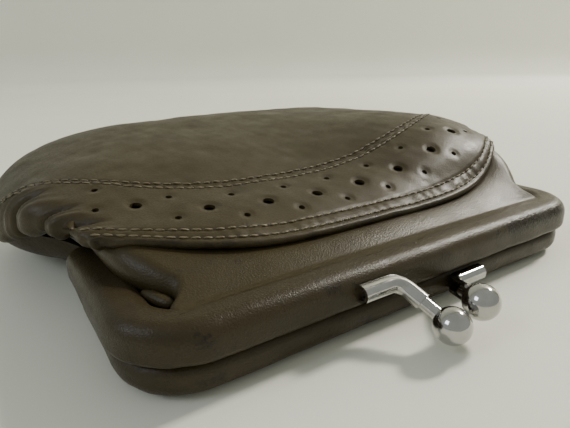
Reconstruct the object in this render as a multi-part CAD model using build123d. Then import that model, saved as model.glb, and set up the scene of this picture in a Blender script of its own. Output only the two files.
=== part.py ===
"""Leather coin purse with a leather-covered two-half frame and a ball clasp.

The purse lies on its back panel. +X runs along the frame's long edge, +Y runs from the clasp to
the pouch's far end, +Z is up. The origin is the bottom centre of the whole purse.
All sizes are in millimetres. While the pieces are made, Y = 0 is the frame's front face; place()
moves each finished piece to the final origin.
"""
import math
import os

from build123d import *

# ---- overall sizes -------------------------------------------------------------------------
FRAME_WIDTH = 110.0          # upper frame half, outside to outside
FRAME_CORNER_RADIUS = 12.4   # outer corner of the upper half, in plan
ARM_LENGTH = 35.0            # frame front face to hinge axis
PARTING_Z = 6.1              # height of the slit between the frame halves, and of the hinge axis
POUCH_WIDTH = 130.0
POUCH_REAR_Y = 98.0
POUCH_TOP_Z = 30.0

# ---- frame halves --------------------------------------------------------------------------
PARTING_GAP = 0.3
UPPER_BAR_WIDTH = 7.7
UPPER_BAR_HEIGHT = 6.5
LOWER_BAR_WIDTH = 8.8
LOWER_BAR_HEIGHT = 5.3
LOWER_INSET = 1.0            # the lower half stands back from the upper all round
COVER_EDGE_RADIUS = 2.4
COVER_SETBACK = 6.0          # leather cover stops this far before the hinge axis
STEEL_WALL_UPPER = 0.8
STEEL_WALL_LOWER = 0.6
STEEL_EDGE_RADIUS = 0.9

# ---- leather and lining --------------------------------------------------------------------
LEATHER = 1.0
SKIVED_LEATHER = 0.8         # the thinned edge that goes into the frame
BACKING = 0.5
LINING = 0.5
GLUE = 0.05
LAYER_GAP = 0.1
SEAM_GAP = 0.1
BODY_GAP = 0.4               # between leather that moves and leather that stays
FRAME_TO_POUCH_GAP = 0.5
SHARPEST_CORNER = 0.3

# ---- pouch shape ---------------------------------------------------------------------------
POUCH_HEEL = 7.0             # the flat underside stops this far inside the pouch's sides
REAR_HEEL = 5.0
FRONT_HEEL = 2.5
POUCH_REAR_CORNER_RADIUS = 26.0
POUCH_SHOULDER_RADIUS = 7.0
CROWN_SPARE = 2.0            # the cross section's crown is cut flat this far down
YOKE_DROP = 1.2              # yoke leather starts this far below the top of the frame
BAND_SIDE_STRIP = 5.8        # yoke leather between the band and each of the frame's arms
BAND_FRONT_CENTRE = 11.5     # frame front to the band's front edge, on an arc about the hinge
BAND_FRONT_END = 14.5
BAND_DEPTH_CENTRE = 23.5     # front to rear of the band, along Y
BAND_REAR_RISE = 5.0         # the rear edge bends back by this much at the ends

# ---- hinge ---------------------------------------------------------------------------------
EAR_THICKNESS = 1.0
EAR_RADIUS = 3.0
EAR_GAP = 0.3
EAR_ROOT_LENGTH = 5.0
EAR_INSET = 5.7              # frame's side to the inner face of the lower ear
RIVET_RADIUS = 1.2
RIVET_HEAD_RADIUS = 2.1
RIVET_HEAD_THICKNESS = 0.6
RUNNING_CLEARANCE = 0.06
FIT_CLEARANCE = 0.02
HEAD_CLEARANCE = 0.1
SWEEP_CLEARANCE = 0.6

# ---- clasp ---------------------------------------------------------------------------------
BALL_RADIUS = 3.1
BALL_BORE_DEPTH = 1.4
ARM_RADIUS = 1.55            # half-round pressed arm
ARM_WALL = 0.55
ARM_LEG = 0.6                # straight sides of the arm's section
ARM_BEND_RADIUS = 2.8
ARM_STANDOFF = 0.05          # arm to the leather behind it
NECK_RADIUS = 1.15
NECK_LENGTH = 2.6
UPPER_ARM_DROP = 0.3         # upper arm's bar below the middle of its frame bar
LOWER_ARM_RISE = 0.6
UPPER_ARM_TIP_X = -17.9
UPPER_ARM_BEND_X = -9.6
UPPER_BALL_X = -7.3
UPPER_BALL_DROP = 1.3        # ball centre below the slit
LOWER_ARM_TIP_X = 15.2
LOWER_ARM_BEND_X = 6.4
LOWER_BALL_X = -0.3
LOWER_BALL_RISE = 0.7
BALL_REACH = 10.4            # ball centres in front of the frame
TAB_LENGTH = 5.0
TAB_HEIGHT = 1.7
TAB_END_MARGIN = 1.2

# ---- derived places ------------------------------------------------------------------------
HALF_WIDTH = FRAME_WIDTH / 2
HINGE_Y = ARM_LENGTH
COVER_END_Y = HINGE_Y - COVER_SETBACK
PACKING_END_Y = COVER_END_Y - EAR_ROOT_LENGTH - BODY_GAP
UPPER_Z = PARTING_Z + PARTING_GAP / 2 + UPPER_BAR_HEIGHT / 2
LOWER_Z = PARTING_Z - PARTING_GAP / 2 - LOWER_BAR_HEIGHT / 2
UPPER_POUCH_INSET = UPPER_BAR_WIDTH + FRAME_TO_POUCH_GAP
LOWER_POUCH_INSET = LOWER_INSET + LOWER_BAR_WIDTH + FRAME_TO_POUCH_GAP
UPPER_TOP_Z = UPPER_Z + UPPER_BAR_HEIGHT / 2
FRAME_REACH = math.hypot(COVER_SETBACK, UPPER_TOP_Z - PARTING_Z)
SHOULDER_Y = HINGE_Y + FRAME_REACH + SWEEP_CLEARANCE
BAND_HALF_WIDTH = HALF_WIDTH - UPPER_POUCH_INSET - BAND_SIDE_STRIP
BAND_FRONT_RADIUS_CENTRE = ARM_LENGTH - BAND_FRONT_CENTRE
BAND_FRONT_RADIUS_END = ARM_LENGTH - BAND_FRONT_END
EAR_INNER_X = HALF_WIDTH - EAR_INSET
UPPER_ARM_TIP = (UPPER_ARM_TIP_X, UPPER_Z - UPPER_ARM_DROP)
UPPER_ARM_BEND = (UPPER_ARM_BEND_X, UPPER_Z - UPPER_ARM_DROP)
UPPER_BALL = (UPPER_BALL_X, -BALL_REACH, PARTING_Z - UPPER_BALL_DROP)
LOWER_ARM_TIP = (LOWER_ARM_TIP_X, LOWER_Z + LOWER_ARM_RISE)
LOWER_ARM_BEND = (LOWER_ARM_BEND_X, LOWER_Z + LOWER_ARM_RISE)
LOWER_BALL = (LOWER_BALL_X, -BALL_REACH, PARTING_Z + LOWER_BALL_RISE)
BALL_FRONT_Y = -BALL_REACH - BALL_RADIUS
MIDDLE_Y = (BALL_FRONT_Y + POUCH_REAR_Y) / 2
FAR = 200.0                  # longer than anything on the purse

HINGE_AXIS = Axis((0, HINGE_Y, PARTING_Z), (1, 0, 0))


def place(shape):
    """Move a finished piece so that the origin is the purse's bottom centre."""
    return Pos(0, -MIDDLE_Y, 0) * shape


def block(x, y, z):
    """A box given by its (low, high) pairs."""
    size = [high - low for low, high in (x, y, z)]
    middle = [(high + low) / 2 for low, high in (x, y, z)]
    return Pos(*middle) * Box(*size)


def both_sides(shape):
    """The shape and its mirror image in the YZ plane."""
    return shape, mirror(shape, about=Plane.YZ)


# ---- frame bars ----------------------------------------------------------------------------
def bar_path(inset, half_bar, z, end_y):
    """Centre line of a bar that runs up one arm, along the front and back down the other arm."""
    x = HALF_WIDTH - inset - half_bar
    y = inset + half_bar
    radius = FRAME_CORNER_RADIUS - inset - half_bar
    return FilletPolyline((-x, end_y, z), (-x, y, z), (x, y, z), (x, end_y, z), radius=radius)


def along_bar(section, inset, half_bar, z, end_y):
    """Sweep a section along a bar; the section's +X points out of the purse and +Y points up."""
    path = bar_path(inset, half_bar, z, end_y)
    start = path @ 0
    plane = Plane(origin=start, x_dir=(-1, 0, 0), z_dir=(0, 1, 0))
    return sweep(plane * section, path=path)


def strip(x_low, x_high, y_low, y_high):
    """A rectangle in the section plane, from its low and high edges."""
    middle = Pos((x_low + x_high) / 2, (y_low + y_high) / 2)
    return middle * Rectangle(x_high - x_low, y_high - y_low)


def steel_half_height(height, wall):
    """Half of the clear height inside the steel channel of a bar."""
    return (height - 2 * LEATHER - 2 * GLUE) / 2 - wall


def cover_section(width, height, mouth):
    """Leather wrapped round the steel, open towards the pouch where the pouch leather goes in."""
    outside = RectangleRounded(width, height, COVER_EDGE_RADIUS)
    inside = RectangleRounded(width - 2 * LEATHER, height - 2 * LEATHER, STEEL_EDGE_RADIUS + GLUE)
    opening = strip(-width, 0, -mouth, mouth)
    return outside - inside - opening


def channel_section(width, height, wall):
    """Steel C channel that opens towards the pouch."""
    steel_width = width - 2 * LEATHER - 2 * GLUE
    steel_height = height - 2 * LEATHER - 2 * GLUE
    outside = RectangleRounded(steel_width, steel_height, STEEL_EDGE_RADIUS)
    clear = steel_half_height(height, wall)
    return outside - strip(-width, steel_width / 2 - wall, -clear, clear)


def flange_section(width, height, wall):
    """Skived edge of the pouch leather, from the pouch into the upper part of the channel."""
    top = steel_half_height(height, wall) - LAYER_GAP
    reach = width / 2 + FRAME_TO_POUCH_GAP + LEATHER / 2
    return strip(-reach, 0, top - SKIVED_LEATHER, top)


def cord_section(height, wall):
    """Paper cord that packs the skived edge against the channel."""
    clear = steel_half_height(height, wall)
    radius = (2 * clear - SKIVED_LEATHER - 3 * LAYER_GAP) / 2
    return Pos(0, -clear + LAYER_GAP + radius) * Circle(radius)


def hinge_ear(x_low, bar_z, bar_height, wall, bore_radius):
    """Flat plate brazed into the end of a channel's right arm, with an eye on the hinge axis."""
    root_half = steel_half_height(bar_height, wall) - FIT_CLEARANCE
    root = strip(COVER_END_Y - EAR_ROOT_LENGTH, COVER_END_Y, bar_z - root_half, bar_z + root_half)
    eye = Pos(HINGE_Y, PARTING_Z) * Circle(EAR_RADIUS)
    root_end = Line((COVER_END_Y, bar_z - root_half), (COVER_END_Y, bar_z + root_half))
    outline = make_hull([root_end.edge(), eye.edge()]) + root
    outline -= Pos(HINGE_Y, PARTING_Z) * Circle(bore_radius)
    side_plane = Plane(origin=(x_low, 0, 0), x_dir=(0, 1, 0), z_dir=(1, 0, 0))
    return extrude(side_plane * outline, amount=EAR_THICKNESS)


def upper_bar(section, end_y=COVER_END_Y):
    return along_bar(section, 0, UPPER_BAR_WIDTH / 2, UPPER_Z, end_y)


def lower_bar(section, end_y=COVER_END_Y):
    return along_bar(section, LOWER_INSET, LOWER_BAR_WIDTH / 2, LOWER_Z, end_y)


def upper_ear_x():
    return EAR_INNER_X + EAR_THICKNESS + EAR_GAP


def upper_frame_channel():
    return upper_bar(channel_section(UPPER_BAR_WIDTH, UPPER_BAR_HEIGHT, STEEL_WALL_UPPER))


def lower_frame_channel():
    return lower_bar(channel_section(LOWER_BAR_WIDTH, LOWER_BAR_HEIGHT, STEEL_WALL_LOWER))


def upper_hinge_ear():
    """Ear that turns on the rivet."""
    bore = RIVET_RADIUS + RUNNING_CLEARANCE
    return hinge_ear(upper_ear_x(), UPPER_Z, UPPER_BAR_HEIGHT, STEEL_WALL_UPPER, bore)


def lower_hinge_ear():
    """Ear that the rivet is fast in."""
    bore = RIVET_RADIUS + FIT_CLEARANCE
    return hinge_ear(EAR_INNER_X, LOWER_Z, LOWER_BAR_HEIGHT, STEEL_WALL_LOWER, bore)


def cover(bar, width, height, wall, tab):
    """Leather cover of one frame half, slit where the clasp's tab comes through."""
    mouth = steel_half_height(height, wall)
    wrapped = bar(cover_section(width, height, mouth))
    return wrapped - offset(tab, amount=GLUE, kind=Kind.INTERSECTION)


def hinge_rivet_right():
    """Rivet through both ears, with a head outside each."""
    ears_end = upper_ear_x() + EAR_THICKNESS + HEAD_CLEARANCE
    inner = EAR_INNER_X - FIT_CLEARANCE

    def disc(radius, x_low, x_high):
        plane = Plane(origin=(x_low, HINGE_Y, PARTING_Z), x_dir=(0, 1, 0), z_dir=(1, 0, 0))
        return extrude(plane * Circle(radius), amount=x_high - x_low)

    rivet = disc(RIVET_RADIUS, inner - RIVET_HEAD_THICKNESS, ears_end + RIVET_HEAD_THICKNESS)
    rivet += disc(RIVET_HEAD_RADIUS, inner - RIVET_HEAD_THICKNESS, inner)
    rivet += disc(RIVET_HEAD_RADIUS, ears_end, ears_end + RIVET_HEAD_THICKNESS)
    return rivet


# ---- clasp ---------------------------------------------------------------------------------
def arm_back_y(front_y):
    """Centre of the arm's round side; its legs stop just short of the leather."""
    return front_y - ARM_STANDOFF - ARM_LEG


def stem_end(bend, ball, gap):
    """Point on the stem's line, gap millimetres short of the ball's surface."""
    line = Vector(*ball) - Vector(*bend)
    return Vector(*ball) - line.normalized() * (BALL_RADIUS + gap)


def clasp_arm(tip, bend, ball, front_y):
    """Half-round pressed arm: a bar along the frame, a bend outwards, a stem and a round neck."""
    y = arm_back_y(front_y)
    start = Vector(tip[0], y, tip[1])
    corner = Vector(bend[0], y, bend[1])
    end = stem_end(corner, ball, NECK_LENGTH)
    run = (corner - start).normalized()
    path = FilletPolyline(start, corner, end, radius=ARM_BEND_RADIUS)
    hollow = ARM_RADIUS - ARM_WALL
    section = Circle(ARM_RADIUS) + strip(-ARM_LEG, 0, -ARM_RADIUS, ARM_RADIUS)
    section -= strip(-2 * ARM_RADIUS, -ARM_LEG, -ARM_RADIUS, ARM_RADIUS)
    section -= Circle(hollow) + strip(-2 * ARM_RADIUS, 0, -hollow, hollow)
    plane = Plane(origin=start, x_dir=(0, -1, 0), z_dir=tuple(run))
    arm = sweep(plane * section, path=path)
    line = (Vector(*ball) - corner).normalized()
    neck_start = end - line * ARM_RADIUS
    neck_tip = stem_end(corner, ball, FIT_CLEARANCE - BALL_BORE_DEPTH)
    neck_plane = Plane(origin=neck_start, z_dir=line)
    neck = extrude(neck_plane * Circle(NECK_RADIUS), amount=(neck_tip - neck_start).length)
    return arm + neck


def clasp_ball(bend, ball, front_y):
    """Ball with a blind bore for the arm's neck."""
    corner = Vector(bend[0], arm_back_y(front_y), bend[1])
    line = (Vector(*ball) - corner).normalized()
    bottom = stem_end(corner, ball, -BALL_BORE_DEPTH)
    bore_plane = Plane(origin=bottom, z_dir=-line)
    bore = extrude(bore_plane * Circle(NECK_RADIUS + FIT_CLEARANCE), amount=BALL_RADIUS)
    return Pos(*ball) * Sphere(BALL_RADIUS) - bore


def clasp_tab(tip, bend, front_y, wall_y):
    """Steel tab that stands out of the channel through the leather; the arm is pressed over it."""
    inwards = math.copysign(1, bend[0] - tip[0])
    x_ends = sorted((tip[0] + inwards * TAB_END_MARGIN,
                     tip[0] + inwards * (TAB_END_MARGIN + TAB_LENGTH)))
    half = TAB_HEIGHT / 2
    depth_in_arm = math.sqrt((ARM_RADIUS - ARM_WALL) ** 2 - half ** 2)
    crown_y = arm_back_y(front_y) - depth_in_arm + LAYER_GAP
    return block(x_ends, (crown_y, wall_y), (tip[1] - half, tip[1] + half))


# ---- pouch ---------------------------------------------------------------------------------
def side_profile_points():
    """Top line of the pouch seen from the side, from the frame to the far end."""
    front_z = UPPER_TOP_Z - YOKE_DROP
    depth = POUCH_REAR_Y - UPPER_POUCH_INSET
    rise = POUCH_TOP_Z - front_z
    shape = [(0.0, 0.0), (0.05, 0.15), (0.16, 0.34), (0.31, 0.50), (0.50, 0.71), (0.70, 0.90),
             (0.86, 1.0), (0.96, 0.74)]
    return [(UPPER_POUCH_INSET + u * depth, front_z + v * rise) for u, v in shape]


def inset_points(points, inset):
    """Move each point inwards, square to the line through its neighbours."""
    moved = []
    last = len(points) - 1
    for i, (y, z) in enumerate(points):
        before = points[max(i - 1, 0)]
        after = points[min(i + 1, last)]
        run, rise = after[0] - before[0], after[1] - before[1]
        length = math.hypot(run, rise)
        moved.append((y + inset * rise / length, z - inset * run / length))
    return moved


def side_block(front_y, inset):
    """The pouch seen from the side, as wide as the purse."""
    top = inset_points(side_profile_points(), inset)
    front = front_y + inset
    rear = POUCH_REAR_Y - inset
    with BuildSketch(Plane.YZ) as sketch:
        with BuildLine():
            curve = Spline(*[(front, top[0][1])] + top[1:] + [(rear, PARTING_Z)])
            Polyline(curve @ 1, (rear - REAR_HEEL, inset), (front + FRONT_HEEL, inset),
                     (front, PARTING_Z / 2), curve @ 0)
        make_face()
    return extrude(sketch.sketch, amount=FAR / 2, both=True)


def cross_block(inset):
    """The pouch seen from the clasp: a pillow that is flat where it rests."""
    half = POUCH_WIDTH / 2 - inset
    flat = POUCH_WIDTH / 2 - POUCH_HEEL
    crown = POUCH_TOP_Z + CROWN_SPARE - PARTING_Z - inset
    section = Pos(0, PARTING_Z) * Ellipse(half, crown)
    section -= Pos(0, PARTING_Z - FAR / 2) * Rectangle(FAR, FAR)
    below = Polygon((-half, PARTING_Z), (-flat, inset), (flat, inset), (half, PARTING_Z), align=None)
    return extrude(Plane.XZ * (section + below), amount=FAR, both=True)


def plan_block(pouch_inset, inset):
    """The pouch seen from above: between the frame's arms in front, full width behind them."""
    front_half = HALF_WIDTH - pouch_inset - inset
    front = pouch_inset + inset
    radius = max(FRAME_CORNER_RADIUS - pouch_inset - inset, SHARPEST_CORNER)
    overlap = 2 * POUCH_SHOULDER_RADIUS
    length = SHOULDER_Y + overlap - front
    tongue = Pos(0, front + length / 2) * RectangleRounded(2 * front_half, length, radius)
    half = POUCH_WIDTH / 2 - inset
    rear = POUCH_REAR_Y - inset
    near = SHOULDER_Y + inset
    sack = Pos(0, (near + rear) / 2) * Rectangle(2 * half, rear - near)
    corners = sack.vertices().sort_by(Axis.Y)
    sack = fillet(corners[:2], POUCH_SHOULDER_RADIUS - inset)
    corners = sack.vertices().sort_by(Axis.Y)
    sack = fillet(corners[-2:], POUCH_REAR_CORNER_RADIUS - inset)
    return extrude(tongue + sack, amount=FAR / 2, both=True)


def pouch_block(pouch_inset, inset):
    """Solid pouch, drawn in from its outer surface by inset."""
    return side_block(pouch_inset, inset) & cross_block(inset) & plan_block(pouch_inset, inset)


def pouch_shell(pouch_inset, outer, thickness):
    """One layer of the pouch's wall."""
    return pouch_block(pouch_inset, outer) - pouch_block(pouch_inset, outer + thickness)


def top_shell(outer, thickness):
    above = block((-FAR, FAR), (-FAR, FAR), (PARTING_Z + SEAM_GAP / 2, FAR))
    return pouch_shell(UPPER_POUCH_INSET, outer, thickness) & above


def bottom_shell(outer, thickness):
    below = block((-FAR, FAR), (-FAR, FAR), (-FAR, PARTING_Z - SEAM_GAP / 2))
    return pouch_shell(LOWER_POUCH_INSET, outer, thickness) & below


def hinge_drum(radius_centre, radius_end, half_width):
    """A barrel about the hinge axis, fatter in the middle."""
    plane = Plane(origin=(0, HINGE_Y, PARTING_Z), x_dir=(1, 0, 0), z_dir=(0, 0, 1))
    with BuildSketch(plane) as sketch:
        with BuildLine():
            crown = ThreePointArc((-half_width, radius_end), (0, radius_centre), (half_width, radius_end))
            Polyline(crown @ 1, (half_width, 0), (-half_width, 0), crown @ 0)
        make_face()
    return revolve(sketch.sketch, axis=HINGE_AXIS)


def hinge_cylinder(radius, half_width):
    """A cylinder about the hinge axis."""
    plane = Plane(origin=(0, HINGE_Y, PARTING_Z), x_dir=(0, 1, 0), z_dir=(1, 0, 0))
    return extrude(plane * Circle(radius), amount=half_width, both=True)


def band_drum(shrink):
    """Everything that stays with the pouch in front of the hinge lies inside this barrel."""
    return hinge_drum(BAND_FRONT_RADIUS_CENTRE - shrink, BAND_FRONT_RADIUS_END - shrink,
                      BAND_HALF_WIDTH - shrink)


def moving_leather(layer):
    """The part of a top layer that swings with the upper frame half."""
    front = layer & block((-FAR, FAR), (-FAR, COVER_END_Y), (PARTING_Z + BODY_GAP, FAR))
    front -= band_drum(0)
    beside_band = (HINGE_Y - BAND_FRONT_RADIUS_END, FAR)
    return front - block((-FAR, FAR), beside_band, (UPPER_TOP_Z, FAR))


def staying_leather(layer):
    """The part of a top layer that stays with the pouch."""
    behind = block((-FAR, FAR), (SHOULDER_Y, FAR), (-FAR, FAR))
    stays = layer & (band_drum(BODY_GAP) + behind)
    swing = hinge_cylinder(SHOULDER_Y - HINGE_Y, HALF_WIDTH + SWEEP_CLEARANCE)
    swing -= block((-BAND_HALF_WIDTH, BAND_HALF_WIDTH), (-FAR, FAR), (-FAR, FAR))
    return stays - swing


def band_plan(shrink):
    """Upright prism round the band; its rear edge is a shallow arc."""
    rear = HINGE_Y - BAND_FRONT_RADIUS_CENTRE + BAND_DEPTH_CENTRE - shrink
    half = BAND_HALF_WIDTH + 2 - shrink
    with BuildSketch(Plane.XY) as sketch:
        with BuildLine():
            back = ThreePointArc((-half, rear + BAND_REAR_RISE), (0, rear), (half, rear + BAND_REAR_RISE))
            Polyline(back @ 1, (half, 0), (-half, 0), back @ 0)
        make_face()
    return extrude(sketch.sketch, amount=FAR)


def front_yoke():
    """Leather between the upper frame half and the band, with its skived edge in the channel."""
    leather = moving_leather(top_shell(0, LEATHER))
    flange = flange_section(UPPER_BAR_WIDTH, UPPER_BAR_HEIGHT, STEEL_WALL_UPPER)
    return leather + upper_bar(flange, PACKING_END_Y)


def back_panel():
    """Leather of the purse's back, with its skived edge in the lower channel."""
    leather = bottom_shell(0, LEATHER)
    flange = flange_section(LOWER_BAR_WIDTH, LOWER_BAR_HEIGHT, STEEL_WALL_LOWER)
    return leather + lower_bar(flange, PACKING_END_Y)


def front_band():
    return staying_leather(top_shell(0, LEATHER)) & band_plan(SEAM_GAP)


def front_panel():
    return staying_leather(top_shell(0, LEATHER)) - band_plan(0)


def band_backing():
    """Thin leather under the perforated band."""
    return staying_leather(top_shell(LEATHER + LAYER_GAP, BACKING)) & band_plan(SEAM_GAP)


LINING_DEPTH = LEATHER + LAYER_GAP + BACKING + LAYER_GAP


def front_lining():
    return staying_leather(top_shell(LINING_DEPTH, LINING))


def yoke_lining():
    return moving_leather(top_shell(LINING_DEPTH, LINING))


def back_lining():
    return bottom_shell(LEATHER + LAYER_GAP, LINING)


def build():
    """Every piece of the purse, by node name."""
    upper_front = 0.0
    lower_front = LOWER_INSET
    upper_tab = clasp_tab(UPPER_ARM_TIP, UPPER_ARM_BEND, upper_front, upper_front + LEATHER + GLUE)
    lower_tab = clasp_tab(LOWER_ARM_TIP, LOWER_ARM_BEND, lower_front, lower_front + LEATHER + GLUE)
    upper_cord = cord_section(UPPER_BAR_HEIGHT, STEEL_WALL_UPPER)
    lower_cord = cord_section(LOWER_BAR_HEIGHT, STEEL_WALL_LOWER)
    right_rivet, left_rivet = both_sides(hinge_rivet_right())
    right_lower_ear, left_lower_ear = both_sides(lower_hinge_ear())
    right_upper_ear, left_upper_ear = both_sides(upper_hinge_ear())
    return {
        "lower_frame_channel": lower_frame_channel(),
        "lower_frame_cover": cover(lower_bar, LOWER_BAR_WIDTH, LOWER_BAR_HEIGHT,
                                   STEEL_WALL_LOWER, lower_tab),
        "lower_packing_cord": lower_bar(lower_cord, PACKING_END_Y),
        "lower_clasp_tab": lower_tab,
        "lower_clasp_arm": clasp_arm(LOWER_ARM_TIP, LOWER_ARM_BEND, LOWER_BALL, lower_front),
        "lower_clasp_ball": clasp_ball(LOWER_ARM_BEND, LOWER_BALL, lower_front),
        "lower_hinge_ear_right": right_lower_ear,
        "lower_hinge_ear_left": left_lower_ear,
        "upper_hinge_ear_right": right_upper_ear,
        "upper_hinge_ear_left": left_upper_ear,
        "hinge_rivet_right": right_rivet,
        "hinge_rivet_left": left_rivet,
        "upper_frame_channel": upper_frame_channel(),
        "upper_frame_cover": cover(upper_bar, UPPER_BAR_WIDTH, UPPER_BAR_HEIGHT,
                                   STEEL_WALL_UPPER, upper_tab),
        "upper_packing_cord": upper_bar(upper_cord, PACKING_END_Y),
        "upper_clasp_tab": upper_tab,
        "upper_clasp_arm": clasp_arm(UPPER_ARM_TIP, UPPER_ARM_BEND, UPPER_BALL, upper_front),
        "upper_clasp_ball": clasp_ball(UPPER_ARM_BEND, UPPER_BALL, upper_front),
        "front_yoke": front_yoke(),
        "yoke_lining": yoke_lining(),
        "front_band": front_band(),
        "band_backing": band_backing(),
        "front_panel": front_panel(),
        "front_lining": front_lining(),
        "back_panel": back_panel(),
        "back_lining": back_lining(),
    }


os.makedirs("parts", exist_ok=True)
for node, shape in build().items():
    export_step(place(shape), f"parts/{node}.step")
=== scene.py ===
"""Leather coin purse with a ball clasp: detailed pieces, finishes, light and camera.

Lengths in the shape functions are millimetres: x along the frame, y from the frame's front face
towards the pouch's far end, z up from the table. to_metres() turns them into the frame's metres.
"""
import math

import bmesh
import bpy
import numpy as np
from mathutils import Matrix, Vector


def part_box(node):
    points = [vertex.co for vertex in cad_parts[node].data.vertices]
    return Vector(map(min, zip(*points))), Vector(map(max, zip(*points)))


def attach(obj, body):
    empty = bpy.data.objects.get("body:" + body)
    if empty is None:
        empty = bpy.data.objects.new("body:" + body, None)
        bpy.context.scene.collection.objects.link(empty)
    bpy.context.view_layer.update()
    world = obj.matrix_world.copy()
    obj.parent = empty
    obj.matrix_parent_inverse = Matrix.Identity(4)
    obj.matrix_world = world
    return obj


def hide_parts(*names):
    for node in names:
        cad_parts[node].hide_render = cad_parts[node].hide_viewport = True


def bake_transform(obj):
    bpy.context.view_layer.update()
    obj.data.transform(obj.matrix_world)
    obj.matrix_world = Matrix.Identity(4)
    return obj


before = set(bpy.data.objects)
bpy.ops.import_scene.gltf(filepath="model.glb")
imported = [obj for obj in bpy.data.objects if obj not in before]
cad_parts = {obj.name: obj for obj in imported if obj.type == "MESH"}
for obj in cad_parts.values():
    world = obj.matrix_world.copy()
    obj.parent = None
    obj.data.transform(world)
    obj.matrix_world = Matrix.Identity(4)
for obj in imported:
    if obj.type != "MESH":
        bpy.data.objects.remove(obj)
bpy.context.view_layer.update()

MM = 0.001
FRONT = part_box("upper_frame_cover")[0].y          # the frame's front face, in metres
LEATHER = 1.0
REAR_Y = 97.6
CORNER_START_Y = 72.0                             # the rear corners of the pouch begin here
CORNER_RADIUS = REAR_Y - CORNER_START_Y


# ---- curves and noise ----------------------------------------------------------------------
def through(knots, x):
    """Smooth curve through (x, y) knots."""
    xs, ys = np.array(knots, float).T
    x = np.clip(x, xs[0], xs[-1])
    slope = np.gradient(ys, xs)
    i = np.clip(np.searchsorted(xs, x) - 1, 0, len(xs) - 2)
    h = xs[i + 1] - xs[i]
    t = (x - xs[i]) / h
    return ((2 * t**3 - 3 * t**2 + 1) * ys[i] + (t**3 - 2 * t**2 + t) * h * slope[i]
            + (3 * t**2 - 2 * t**3) * ys[i + 1] + (t**3 - t**2) * h * slope[i + 1])


def ramp(low, high, x):
    """0 below low, 1 above high, smooth between; low may be the larger."""
    t = np.clip((np.asarray(x, float) - low) / (high - low), 0, 1)
    return t * t * (3 - 2 * t)


def ripple(points, size, seed, waves=14):
    """Smooth seeded noise of about unit size, with features about size millimetres wide."""
    rng = np.random.default_rng(seed)
    total = np.zeros(points.shape[:-1])
    for _ in range(waves):
        direction = rng.normal(size=points.shape[-1])
        direction /= np.linalg.norm(direction)
        length = size * rng.uniform(0.7, 1.8)
        total += np.sin(points @ direction * 2 * math.pi / length + rng.uniform(0, 2 * math.pi))
    return total / math.sqrt(waves / 2)


def to_metres(points):
    moved = np.asarray(points, float) * MM
    moved[..., 1] += FRONT
    return moved


# ---- meshes --------------------------------------------------------------------------------
def finish_mesh(name, points, faces, group, material, uv=None, values=None):
    """Mesh object from millimetre points; edges between face groups stay sharp."""
    mesh = bpy.data.meshes.new(name)
    mesh.from_pydata(to_metres(points).tolist(), [], faces.tolist())
    for key, value in (values or {}).items():
        mesh.attributes.new(key, "FLOAT", "POINT").data.foreach_set("value", value.astype(np.float32))
    if uv is not None:
        layer = mesh.uv_layers.new(name="length")
        corner = np.empty(len(mesh.loops), np.int32)
        mesh.loops.foreach_get("vertex_index", corner)
        layer.data.foreach_set("uv", (uv[corner] * MM).ravel().astype(np.float32))
    edge = np.empty(len(mesh.loops), np.int32)
    mesh.loops.foreach_get("edge_index", edge)
    group_of_corner = np.repeat(group, 4)
    low = np.full(len(mesh.edges), 99)
    high = np.full(len(mesh.edges), -1)
    np.minimum.at(low, edge, group_of_corner)
    np.maximum.at(high, edge, group_of_corner)
    sharp = mesh.attributes.new("sharp_edge", "BOOLEAN", "EDGE")
    sharp.data.foreach_set("value", (low != high))
    mesh.shade_smooth()
    work = bmesh.new()
    work.from_mesh(mesh)
    bmesh.ops.remove_doubles(work, verts=work.verts, dist=0.004 * MM)
    work.to_mesh(mesh)
    work.free()
    mesh.materials.append(material)
    piece = bpy.data.objects.new(name, mesh)
    bpy.context.scene.collection.objects.link(piece)
    return piece


def grid_normals(grid):
    """Unit normals of a (rows, columns, 3) grid."""
    along_rows = np.gradient(grid, axis=0)
    along_columns = np.gradient(grid, axis=1)
    normal = np.cross(along_columns, along_rows)
    length = np.linalg.norm(normal, axis=-1, keepdims=True)
    return normal / np.maximum(length, 1e-9)


def spans(grid, axis):
    """Running length of a grid along one axis."""
    step = np.linalg.norm(np.diff(grid, axis=axis), axis=-1)
    pad = [(0, 0), (0, 0)]
    pad[axis] = (1, 0)
    return np.cumsum(np.pad(step, pad), axis=axis)


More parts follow.
